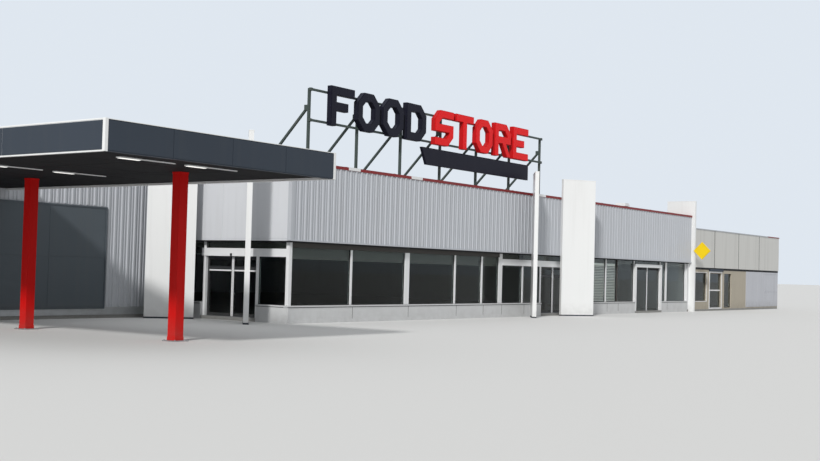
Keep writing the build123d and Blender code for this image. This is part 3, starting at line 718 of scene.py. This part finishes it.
# %% Sensor and floor grilles
def front_strip(along, start, end, near, far, bottom, top):
    """Corners of a strip along the main front (0) or the entrance front (1), by its depth behind it."""
    if along:
        return (corner_x + near, start, bottom), (corner_x + far, end, top)
    return (start, corner_y + near, bottom), (end, corner_y + far, top)


side_low, side_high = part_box("entrance_door_left")
far_low, far_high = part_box("entrance_door_right")
meeting_y = (far_high.y + side_low.y) / 2
door_spans = ((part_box(leaves[0])[0].x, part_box(leaves[1])[1].x), (far_low.y, side_high.y))
header_low = next(low for low, high in solids_of("entrance_beams") if high.z < 1.4)
make_piece("door_sensor", "rubber_and_shade_black", [(
    (header_low.x - 0.022, meeting_y - 0.045, header_low.z + 0.004),
    (header_low.x + 0.002, meeting_y - 0.005, header_low.z + 0.050),
)], bevel=0.006)

bar = 0.008
make_piece("door_grilles", "zinc_metal", [
    front_strip(along, *door_spans[along], near, near + bar, floor_top - 0.001, floor_top + 0.004)
    for near in (0.065, 0.085, 0.105, 0.125, 0.145)
    for along in (0, 1)
], bevel=0)

# %% [markdown]
# Brush seals close the line where two leaves meet. The leaves are dark, with a white cover on each
# meeting stile and a thin white bar across the entrance leaves. A leaf is one solid with one finish, so
# the white could only be a second material or a cover that stands a little proud, as here. Everything is
# measured from the leaf's meeting edge and rides with the leaf.


# %% Seals, covers and bars of the leaves
def stile_strip(leaf, axis, side, inner, outer, proud, foot, top):
    """Upright strip at a leaf's meeting edge, from a place inside that edge to one outside it."""
    low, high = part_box(leaf)
    edge = high[axis] if side > 0 else low[axis]
    low[axis], high[axis] = sorted((edge - side * inner, edge + side * outer))
    low[1 - axis] -= proud
    high[1 - axis] += proud
    low.z, high.z = low.z + foot, top
    return low, high


brush = 0.0022
inside_stiles = 0.034
for leaf, axis, side, width in zip(leaves, (0, 0, 1, 1), (1, -1, -1, 1), (0.034, 0.034, 0.024, 0.024)):
    seal = stile_strip(leaf, axis, side, 0.001, brush, -0.006, 0.01, 1.16)
    make_piece(leaf + "_seal", "rubber_and_shade_black", [seal], bevel=0.0005, body=leaf)
    covers = [stile_strip(leaf, axis, side, width, -0.0005, 0.0015, 0.001, 1.163)]
    if axis == 1:
        low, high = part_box(leaf)
        bar_low = (low.x - 0.001, low.y + inside_stiles, 0.894)
        covers.append((bar_low, (low.x + 0.006, high.y - inside_stiles, 0.920)))
    make_piece(leaf + "_covers", "frame_paint", covers, bevel=0.001, body=leaf)

# %% [markdown]
# The low wall is cast in lengths. Dark joints run down its face under the window posts, a line of painted
# shade follows the underside of its cap, and sealant closes the angle between cap and frames. They could
# be grooves, but the wall stays whole, so they are dark strips barely proud of it. A rendered facing
# covers the edge of the floor slab, so that the wall seems to rise from the ground.

# %% Joints and painted shade of the low wall
cap_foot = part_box("front_low_wall")[1].z - 0.026
joint_and_shade_strips, facings = [], []
wall_spans = [(low.x + 0.2, high.x - 0.2) for low, high in solids_of("front_low_wall")]
for low, high in solids_of("shopfront_posts"):
    middle = (low.x + high.x) / 2
    if high.y < corner_y + 0.3 and any(start < middle < end for start, end in wall_spans):
        joint_and_shade_strips.append(front_strip(0, middle - 0.004, middle + 0.004, 0.0585, 0.062, floor_top, cap_foot))
for along, node in enumerate(("front_low_wall", "entrance_low_wall")):
    for low, high in solids_of(node):
        start, end = low[along], high[along]
        joint_and_shade_strips.append(front_strip(along, start, end, 0.104, 0.111, high.z - 0.001, high.z + 0.004))
        # Painted shade: a dark line under the overhang of the cap.
        joint_and_shade_strips.append(front_strip(along, start, end, 0.0565, 0.061, cap_foot - 0.010, cap_foot))
        if along and start < corner_y + 0.2:
            start = corner_y + 0.06
        facings.append(front_strip(along, start, end, 0.056, 0.064, 0.0, floor_top + 0.002))
make_piece("low_wall_joints_and_shade", "rubber_and_shade_black", joint_and_shade_strips, bevel=0)
make_piece("low_wall_facings", "low_wall_render", facings)

# %% [markdown]
# White trims close the far end of the front: a folded cover hides the end of the side wall, and the
# portal has a slim upright in the middle of its pane under a dark line of painted shade. The post beside
# the blinds has a dark cover. It could be painted, but all posts are one part with one paint, so thin
# blocks are laid over what shows.

# %% End cover and portal trims
end_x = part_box("right_wall")[0].x
cover_front = corner_y + 0.055
cover_low = (end_x - 0.005, cover_front, floor_top)
make_piece("end_cover", "frame_paint", [
    (cover_low, (front_end - 0.001, cover_front + 0.006, band_bottom)),
    (cover_low, (end_x + 0.001, cover_front + 0.08, band_bottom)),
], bevel=0.001)

portal_low, portal_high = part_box("portal_frame")
panes = [box for box in solids_of("shop_glass") if portal_low.x < box[0].x and box[1].x < portal_high.x]
low, high = max(panes, key=lambda box: box[1].z - box[0].z)
middle = (low.x + high.x) / 2
mullion = ((middle - 0.020, low.y - 0.016, low.z), (middle + 0.020, low.y + 0.001, high.z))
make_piece("portal_mullion", "door_metal", [mullion], bevel=0.003)
# Painted shade: a dark line along the top of the portal's pane.
shade_line = ((low.x, low.y - 0.012, high.z - 0.07), (high.x, low.y + 0.001, high.z - 0.004))
make_piece("portal_shade_line", "rubber_and_shade_black", [shade_line])
cover_back = low.y - 0.001
dark_post_x = corner_x + 13.22
low, high = min(solids_of("shopfront_posts"), key=lambda box: abs((box[0].x + box[1].x) / 2 - dark_post_x))
make_piece("dark_post_cover", "shade_and_cover_paint", [
    ((low.x - 0.002, low.y - 0.004, low.z + 0.001), (high.x + 0.002, cover_back, high.z - 0.001)),
])

# %% [markdown]
# A tall blade is a slim painted box on edge. It stands in a dark steel shoe and ends in a thin folded
# cap. The blades are turned on plan, so blocks along the axes wouldn't fit them. Both are built along one
# axis and then turned about the blade's own middle, which is read from its corners.


# %% Shoes and caps of the blades
def add_turned(bm, middle, direction, length, depth, bottom, top, bevel):
    """Block round a middle on plan, with its length along a direction."""
    verts = add_block(bm, (-length / 2, -depth / 2, bottom), (length / 2, depth / 2, top), bevel)
    turn = Matrix.Rotation(math.atan2(direction.y, direction.x), 3, "Z")
    bmesh.ops.rotate(bm, cent=(0, 0, 0), matrix=turn, verts=verts)
    bmesh.ops.translate(bm, vec=(middle.x, middle.y, 0), verts=verts)


proud = 0.006
shoe_height = 0.03
cap_height = 0.014
shoes = bmesh.new()
caps = bmesh.new()
for points in islands_of("entrance_blades") + islands_of("front_blades"):
    bottom = min(point.z for point in points)
    top = max(point.z for point in points)
    plan = [point for point in points if point.z > top - 0.001]
    middle = sum(plan, Vector()) / len(plan)
    sides = sorted((point - plan[0] for point in plan[1:]), key=lambda side: side.length)
    thickness, length = sides[0].length, sides[1].length
    if length < thickness * 2:
        length = sides[-1].length
    direction = sides[1].normalized()
    cap_bottom = top - cap_height
    add_turned(caps, middle, direction, length + proud, thickness + proud, cap_bottom, top + 0.003, 0.001)
    if middle.x < front_end:
        shoe_size = (length + 2 * proud, thickness + 2 * proud)
        add_turned(shoes, middle, direction, *shoe_size, bottom, bottom + shoe_height, 0.002)
finish_piece("blade_caps", caps, "blade_paint")
finish_piece("blade_shoes", shoes, "anthracite_paint")

# %% [markdown]
# The canopy's fascia is a run of dark cassettes with hairline joints, which turns both corners and runs
# back to the wall. A thin light edge follows its top, and an upright white angle closes each front
# corner. The joints could be drawn as dark lines, but gaps between equal blocks stay sharp from near by.

# %% Canopy fascia
low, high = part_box("canopy_fascia")
deck_low, deck_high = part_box("canopy_deck")
end_panels = solids_of("canopy_end_panels")
make_piece("fascia_cassettes", "anthracite_paint", [
    ((start, low.y - 0.006, low.z + 0.012), (end, low.y + 0.002, high.z - 0.014))
    for start, end in equal_parts(low.x, high.x, 4, 0.004)
])
top_edge = ((low.x - 0.034, low.y - 0.008, high.z - 0.004), (high.x + 0.034, high.y + 0.004, high.z + 0.004))
cassettes = []
for (low, high), x in zip(end_panels, (end_panels[0][0].x - 0.006, end_panels[1][1].x - 0.002)):
    cassettes += [
        ((x, start, low.z + 0.014), (x + 0.008, end, high.z - 0.016))
        for start, end in equal_parts(low.y + 0.034, high.y - 0.026, 4, 0.004)
    ]
make_piece("canopy_end_cassettes", "anthracite_paint", cassettes)

trims = [(*top_edge, 0.001)]
for low, high in end_panels:
    trims += [
        ((low.x - 0.004, low.y - 0.008, low.z - 0.004), (high.x + 0.004, high.y - 0.004, low.z + 0.010)),
        ((low.x - 0.004, low.y - 0.004, high.z - 0.010), (high.x + 0.004, high.y - 0.004, high.z + 0.006)),
        ((low.x - 0.007, low.y - 0.010, low.z - 0.004), (high.x + 0.007, low.y + 0.030, high.z + 0.006)),
    ]
make_piece("canopy_trims", "blade_paint", trims)

# %% [markdown]
# The underside is lined with dark panels. One sheet with holes for the posts would do from below, but the
# real lining is laid in rows with open joints. So each panel is a block, and the row at the posts is made
# of the lengths between them.

# %% Canopy underside
post_boxes = solids_of("canopy_posts")
left, right = post_boxes[0][0].x, post_boxes[-1][1].x
half_way = (deck_low.x + left) / 2
side_cells = equal_parts(deck_low.y + 0.004, deck_high.y - 0.008, 7, 0.004)
edges = [deck_low.y + 0.008]
for low, high in post_boxes:
    edges += [low.y - 0.026, high.y + 0.026]
edges.append(deck_high.y - 0.008)
make_piece("canopy_linings", "soffit_paint", [
    ((start, near, deck_low.z - 0.014), (end, far, deck_low.z + 0.002))
    for start, end, cells in (
        (deck_low.x + 0.008, half_way - 0.004, side_cells),
        (half_way + 0.004, left - 0.026, side_cells),
        (left - 0.018, right + 0.018, zip(edges[::2], edges[1::2])),
        (right + 0.026, deck_high.x - 0.008, side_cells),
    )
    for near, far in cells
], bevel=0.003)

# %% [markdown]
# Short lamps hang under the panels, each with a cable duct beside it. Every one could be a light of its
# own, but that costs much time and shows little by day. So a lamp is a white case over a face that glows.

# %% Lamps under the canopy
lamp_cases, lamp_faces = [], []
for x in (corner_x - 6.55, corner_x - 5.52):
    for y in (corner_y - 3.38, corner_y - 0.9, corner_y + 1.7):
        low = Vector((x - 0.16, y - 0.04, deck_low.z - 0.030))
        high = Vector((x + 0.16, y + 0.04, deck_low.z - 0.012))
        lamp_cases.append((low, high, 0.004))
        lamp_faces.append((low + Vector((0.012, 0.012, -0.004)), high + Vector((-0.012, -0.012, -0.010))))
        cable_low = (high.x + 0.01, y - 0.012, deck_low.z - 0.026)
        lamp_cases.append((cable_low, (high.x + 0.53, y + 0.012, deck_low.z - 0.012)))
make_piece("lamp_cases", "frame_paint", lamp_cases)
make_piece("lamp_faces", "lamp_glow", lamp_faces, bevel=0.003)

# %% [markdown]
# The red posts stand on steel plates with four bolts each, and collars close the joints at their foot and
# at the underside. Plate and collar could be one piece, but their finishes differ. So they are blocks
# that are a little wider than the post on plan.

# %% Feet and collars of the posts
plate_top = 0.012
feet, collars, bolts = [], [], []
for low, high in post_boxes:
    feet.append(wider(low, high, 0.05, 0.0, plate_top))
    (left, near, _), (right, far, _) = wider(low, high, 0.028, 0.0, 0.0)
    bolts += [((x, y, plate_top), 0.010) for x in (left, right) for y in (near, far)]
    collars.append(wider(low, high, 0.006, high.z - 0.034, high.z))
    collars.append((*wider(low, high, 0.006, plate_top, 0.060), 0.003))
make_piece("post_feet", "zinc_metal", feet, bolts=bolts)
make_piece("post_collars", "post_paint", collars)

# %% [markdown]
# The large board beside the drive is bare: six dark sheets in a slim frame. It could be one sheet with
# drawn lines, but open joints keep their own shadow. So the sheets are blocks with a narrow joint between
# them, and the frame is one rim.

# %% Drive board
make_piece("board_sheets", "board_paint", [
    ((start, board_low.y - 0.004, bottom), (end, board_low.y + 0.002, top))
    for start, end in equal_parts(board_low.x + 0.025, board_high.x - 0.025, 3, 0.003)
    for bottom, top in equal_parts(board_low.z + 0.025, board_high.z - 0.025, 2, 0.003)
], bevel=0.0015)
rim_low, rim_high = board_low - Vector((0.012, 0.012, 0.012)), board_high + Vector((0.012, -0.001, 0.012))
make_piece("board_frame", "board_paint", rims=[(rim_low, rim_high, 1, 0.034)])

# %% [markdown]
# The annex is plainer. Its band has broad panels with dark joints over a shadow gap, and its front wall
# changes from beige render to grey sheets with a framed hatch towards the end. Every panel could be a
# block, but here the band itself is the panels, so thin dark strips are enough to part them.

# %% Annex band and front wall
annex_band_low, annex_band_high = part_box("annex_band")
annex_start, annex_face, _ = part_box("annex_front_wall")[0]
annex_end = annex_band_high.x
panel_foot = annex_band_low.z - 0.062
dark_lines = [
    (on_plan(x - 0.012, -0.0022, annex_band_low.z), on_plan(x + 0.012, 0.002, annex_band_high.z))
    for x in (19.89, 22.00, 23.97)
]
gap_high = (annex_end - 0.001, annex_face + 0.002, annex_band_low.z)
dark_lines.append(((annex_start, annex_face - 0.012, panel_foot), gap_high))
make_piece("annex_dark_lines", "rubber_and_shade_black", dark_lines, bevel=0)

sheet_edges = (corner_x + 22.79, corner_x + 23.86, corner_x + 24.93, annex_end - 0.004)
make_piece("annex_grey_sheets", "annex_wall_paint", [
    ((start + 0.003, annex_face - 0.010, 0.09), (end - 0.003, annex_face + 0.002, panel_foot))
    for start, end in zip(sheet_edges, sheet_edges[1:])
], bevel=0.003)
hatch = ((corner_x + 24.60, annex_face - 0.018, 0.60), (corner_x + 25.84, annex_face - 0.008, 1.22), 1, 0.022)
make_piece("annex_hatch_frame", "annex_wall_paint", rims=[hatch])

# %% [markdown]
# Window and doorway have white frames, a bar crosses the door under a dark box, and the capping turns red
# towards the end. The frames could be set by numbers, but rims round the panes stay with their glass. The
# last pane is the doorway's, so the bar and the box are placed by it.

# %% Annex window and doorway
rims = []
for (low, high), width, sill in zip(solids_of("annex_glass"), (0.025, 0.055), (0.025, 0.03)):
    rim_low = (low.x - width, annex_face - 0.012, low.z - sill)
    rims.append((rim_low, (high.x + width, annex_face + 0.045, high.z + width), 1, width))
rail = ((low.x, annex_face + 0.035, 0.62), (high.x, annex_face + 0.049, 0.66))
make_piece("annex_frames", "frame_paint", [rail], bevel=0.003, rims=rims)
make_piece("annex_door_box", "anthracite_paint", [
    ((low.x - 0.08, annex_face - 0.05, high.z + 0.056), (high.x + 0.08, annex_face + 0.002, high.z + 0.13)),
], bevel=0.006)
make_piece("annex_red_cap", "coping_paint", [(
    (corner_x + 24.8, cap_low.y - 0.003, cap_low.z + 0.001),
    (cap_high.x - 0.03, cap_low.y + 0.12, cap_high.z + 0.003),
)], bevel=0.001)

# %% [markdown]
# Flat roofs are covered in felt. Its lengths overlap in low seams that stop at the kerbs of the roof
# lights, and it is turned up against the parapets. Displacement could raise the seams, but it needs a
# dense mesh over the whole roof. So every strip is a shallow block, cut short where a kerb stands in its
# way.


# %% Felt seams and upstands
def seams_across(low, high, pitch, kerbs=()):
    """Seams across a roof area, interrupted at the kerbs."""
    count = round((high.x - low.x) / pitch)
    strips = []
    for number in range(1, count):
        x = low.x + (high.x - low.x) * number / count
        stops = [low.y]
        for kerb_low, kerb_high in kerbs:
            if kerb_low.x - 0.08 < x < kerb_high.x + 0.08:
                stops += [kerb_low.y - 0.06, kerb_high.y + 0.06]
        stops.append(high.y)
        for start, end in zip(stops[::2], stops[1::2]):
            strips.append(((x - 0.0175, start, high.z - 0.001), (x + 0.0175, end, high.z + 0.003)))
    return strips


light_boxes = solids_of("roof_lights")
wing_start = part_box("wing_roof")[0].y
upstand = 0.006
seams = []
for node in ("hall_roof", "wing_roof", "annex_roof"):
    low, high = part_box(node)
    bottom, top = high.z, high.z + 0.12
    left_stop = wing_start - 0.11 if node == "hall_roof" else high.y
    seams += seams_across(low, high, 1.0667, light_boxes if node == "hall_roof" else ())
    seams += [
        ((low.x, low.y, bottom), (high.x, low.y + upstand, top)),
        ((low.x, high.y - upstand, bottom), (high.x, high.y, top)),
        ((low.x, low.y, bottom), (low.x + upstand, left_stop, top)),
    ]
    if node != "wing_roof":
        seams.append(((high.x - upstand, low.y, bottom), (high.x, high.y, top)))
seams += seams_across(deck_low + Vector((0, 0.01, 0)), deck_high, 0.925)
make_piece("felt_seams", "roof_felt", seams, bevel=0)

# %% [markdown]
# A roof light is an opal dome on a kerb. The kerb gets a metal skirt and a clamping frame, which are
# rims. The dome could be a cut sphere, but its foot is square. So it is a small grid whose middle is
# lifted by a cosine, given a thickness and set on the kerb's top.

# %% Roof lights
dome_rise = 0.10
skirts = []
domes = bmesh.new()
for low, high in light_boxes:
    skirts.append((*wider(low, high, 0.03, low.z, low.z + 0.10), 2, 0.034))
    skirts.append((*wider(low, high, 0.010, high.z - 0.035, high.z + 0.006), 2, 0.05))
    middle = (low + high) / 2
    half_width = (high.x - low.x) / 2 - 0.035
    grid = bmesh.ops.create_grid(domes, x_segments=8, y_segments=8, size=half_width)["verts"]
    for vert in grid:
        lift = math.cos(vert.co.x / half_width * math.pi / 2) * math.cos(vert.co.y / half_width * math.pi / 2)
        vert.co.z = dome_rise * max(lift, 0.0) ** 0.5
    faces = list({face for vert in grid for face in vert.link_faces})
    thick = bmesh.ops.solidify(domes, geom=faces, thickness=-0.008)
    verts = set(grid) | {item for item in thick["geom"] if isinstance(item, bmesh.types.BMVert)}
    bmesh.ops.translate(domes, vec=(middle.x, middle.y, high.z + 0.001), verts=list(verts))
make_piece("roof_light_skirts", "zinc_metal", rims=skirts)
finish_piece("roof_light_domes", domes, "opal_plastic")

# %% [markdown]
# Over the right half of the front, one pale vent looks over the capping, and two lower ones stand behind
# it. Louvres could be added, but nothing of them would show from the ground. So a vent is a block under a
# hood, and the hood is a second block whose top is drawn in.

# %% Roof vents
roof_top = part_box("hall_roof")[1].z
vents = bmesh.new()
for place, width, front, depth, height in (
    (14.43, 0.23, 0.50, 0.26, 0.47),
    (15.20, 0.30, 0.80, 0.50, 0.34),
    (11.20, 0.26, 0.70, 0.50, 0.30),
):
    low = on_plan(place, front, roof_top)
    high = on_plan(place + width, front + depth, roof_top + height)
    add_block(vents, low, high - Vector((0, 0, 0.08)), 0.006)
    verts = add_block(vents, *wider(low, high, 0.03, high.z - 0.085, high.z))
    tops = [vert for vert in verts if vert.co.z > high.z - 0.01]
    centre = sum((vert.co for vert in tops), Vector()) / 4
    bmesh.ops.scale(vents, vec=(0.86, 0.86, 1), space=Matrix.Translation(-centre), verts=tops)
finish_piece("roof_vents", vents, "frame_paint")

# %% [markdown]
# Each letter of the sign is a deep block with a face plate. The red ones have sides painted a darker red
# than their faces, as painted shade. The face could be a text object, but no font would fit these blocks.
# So it is made from the letter's own front: a merged copy of its mesh keeps only what faces forward, its
# edge is drawn in, and solidify gives it a plate's thickness.

# %% Faces of the letters
for tone in ("red", "dark"):
    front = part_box(tone + "_letters")[0].y
    bm = bmesh.new()
    bm.from_mesh(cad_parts[tone + "_letters"].data)
    bmesh.ops.remove_doubles(bm, verts=bm.verts, dist=1e-5)
    away = [
        face for face in bm.faces if face.normal.y > -0.9 or abs(face.calc_center_median().y - front) > 0.002
    ]
    bmesh.ops.delete(bm, geom=away, context="FACES")
    bmesh.ops.dissolve_limit(bm, angle_limit=0.01, verts=bm.verts, edges=bm.edges)
    bmesh.ops.inset_region(bm, faces=bm.faces, use_boundary=True, thickness=0.010, use_even_offset=True)
    rim = [face for face in bm.faces if any(edge.is_boundary for edge in face.edges)]
    bmesh.ops.delete(bm, geom=rim, context="FACES")
    bmesh.ops.solidify(bm, geom=bm.faces, thickness=0.008)
    shift = front - max(vert.co.y for vert in bm.verts)
    bmesh.ops.translate(bm, vec=(0, shift + 0.0005, 0), verts=bm.verts)
    finish_piece(tone + "_letter_faces", bm, "letter_" + tone + "_paint")

# %% [markdown]
# The sign stands on a steel frame on the roof. Its posts have foot plates with bolts, its braces end in
# lugs, and short clamps hold the posts to the rails. Clamps could be placed by hand, but there is one
# wherever a post crosses a rail, so a loop looks for the crossings.

# %% Feet and brackets of the sign
foot_top = roof_top + plate_top
feet, bolts = [], []
for low, high in solids_of("sign_posts"):
    middle = (low + high) / 2
    feet.append(wider(middle, middle, 0.07, roof_top, foot_top))
    (left, near, _), (right, far, _) = wider(middle, middle, 0.045, 0.0, 0.0)
    bolts += [((x, y, foot_top), 0.009) for x in (left, right) for y in (near, far)]
for low, high in solids_of("sign_braces"):
    lug = low.x - 0.008
    feet += [
        ((low.x - 0.03, high.y - 0.10, roof_top), (high.x + 0.03, high.y + 0.03, foot_top)),
        ((lug, high.y - 0.085, roof_top + 0.010), (low.x, high.y + 0.01, roof_top + 0.075), 0.001),
        ((lug, low.y - 0.02, high.z - 0.09), (low.x, low.y + 0.07, high.z + 0.01), 0.001),
    ]
make_piece("sign_feet", "sign_steel_paint", feet, bolts=bolts)

clamp_half = 0.032
clamp_proud = 0.008
clamps = []
for post_low, post_high in solids_of("sign_posts"):
    x = (post_low.x + post_high.x) / 2
    for low, high in solids_of("sign_rails"):
        if low.x - 0.01 < x < high.x + 0.01:
            clamp_low = (x - clamp_half, low.y + 0.004, low.z - clamp_proud)
            clamps.append((clamp_low, (x + clamp_half, post_low.y + 0.012, high.z + clamp_proud)))
make_piece("sign_clamps", "sign_steel_paint", clamps)

# %% [markdown]
# Thin edges finish two plates. The long dark one of the sign has a lip along its top and its foot, and
# the yellow diamond beside the end blade has a raised rim on each broad face. Four bars could frame the
# diamond, but their corners would need mitres. A circle of four points is a diamond already, so it is
# turned upright, inset, and given a thickness after its middle is deleted.

# %% Edges of the sign plates
low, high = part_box("sign_plate")
plate_slant = 0.18
lip = 0.012
make_piece("sign_plate_lips", "letter_dark_paint", [
    ((start + 0.006, low.y - 0.006, foot), (high.x, low.y + 0.002, foot + lip))
    for start, foot in ((low.x, high.z - lip), (low.x + plate_slant, low.z))
])

low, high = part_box("diamond_sign")
half = (high.z - low.z) / 2
middle = (low + high) / 2
diamond_thickness = 0.045
upright = Matrix.Rotation(math.pi / 2, 3, "Y")
rims = bmesh.new()
for face, outward in ((low.x, -1), (low.x + diamond_thickness, 1)):
    corners = bmesh.ops.create_circle(rims, cap_ends=True, segments=4, radius=half - 0.004)["verts"]
    broad = list(corners[0].link_faces)
    bmesh.ops.rotate(rims, cent=(0, 0, 0), matrix=upright, verts=corners)
    bmesh.ops.translate(rims, vec=(face, middle.y, middle.z), verts=corners)
    rim_faces = bmesh.ops.inset_region(rims, faces=broad, use_boundary=True, thickness=0.020)["faces"]
    bmesh.ops.delete(rims, geom=broad, context="FACES_ONLY")
    raised = bmesh.ops.extrude_face_region(rims, geom=rim_faces)["geom"]
    tops = [item for item in raised if isinstance(item, bmesh.types.BMVert)]
    bmesh.ops.translate(rims, vec=(outward * 0.005, 0, 0), verts=tops)
finish_piece("diamond_rims", rims, "yellow_paint")
